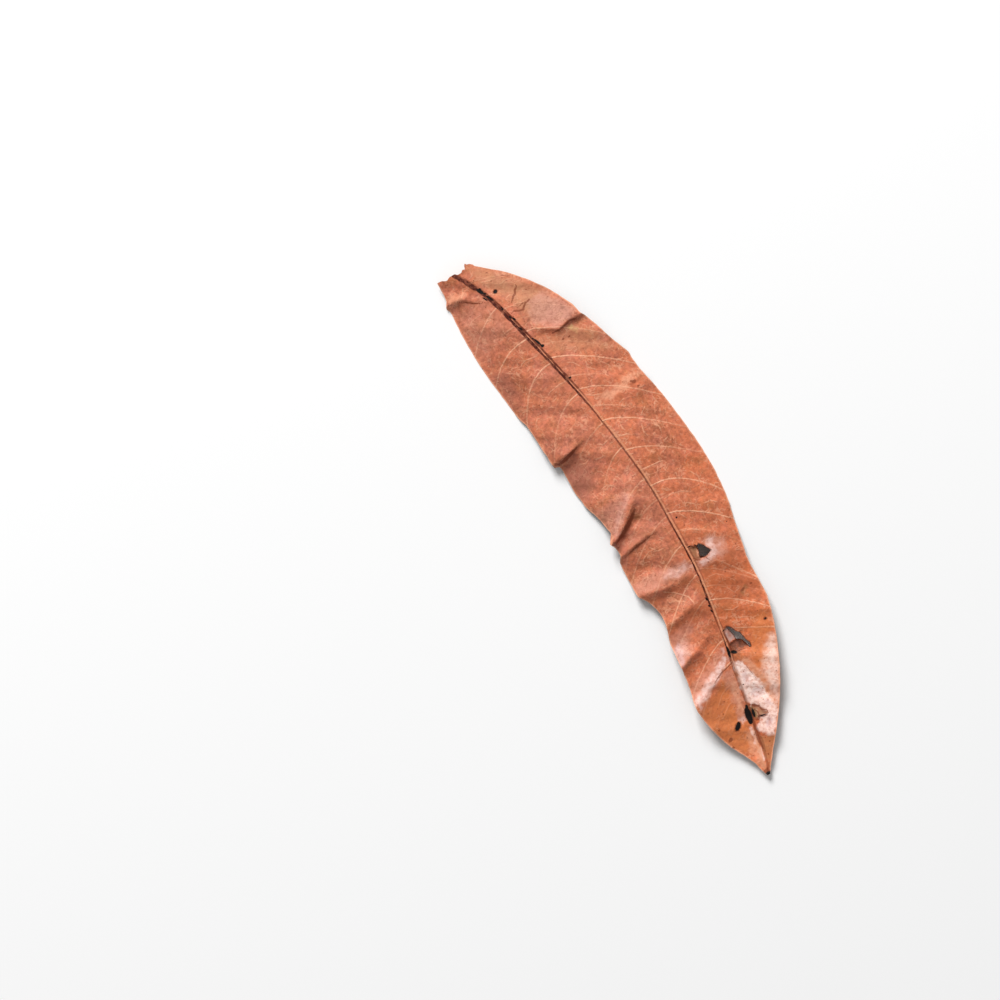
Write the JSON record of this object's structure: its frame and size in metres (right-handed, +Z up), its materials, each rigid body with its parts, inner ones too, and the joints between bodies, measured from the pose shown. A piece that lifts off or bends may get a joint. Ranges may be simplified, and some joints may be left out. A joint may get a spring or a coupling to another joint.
{
  "type": "autumn leaf",
  "caption": "Dry, long pointed autumn leaf lying right side up, arched along its midrib, with folded margins, torn holes and a broken-off stalk end.",
  "frame": {"origin": "middle of the leaf's box, on the surface that the leaf lies on", "axes": "+Y along the leaf towards its broken stalk end, with the tip at -Y; +X towards the edge that bows outwards; +Z up, out of the leaf's upper side"},
  "size_m": [0.0402, 0.166, 0.0067],
  "materials": {
    "dry_leaf": "thin dry leaf, salmon brown with paler side veins, a dark midrib groove and brown spots, satin on the upper side"
  },
  "bodies": {
    "root": {"leaf": "dry_leaf"}
  },
  "joints": []
}
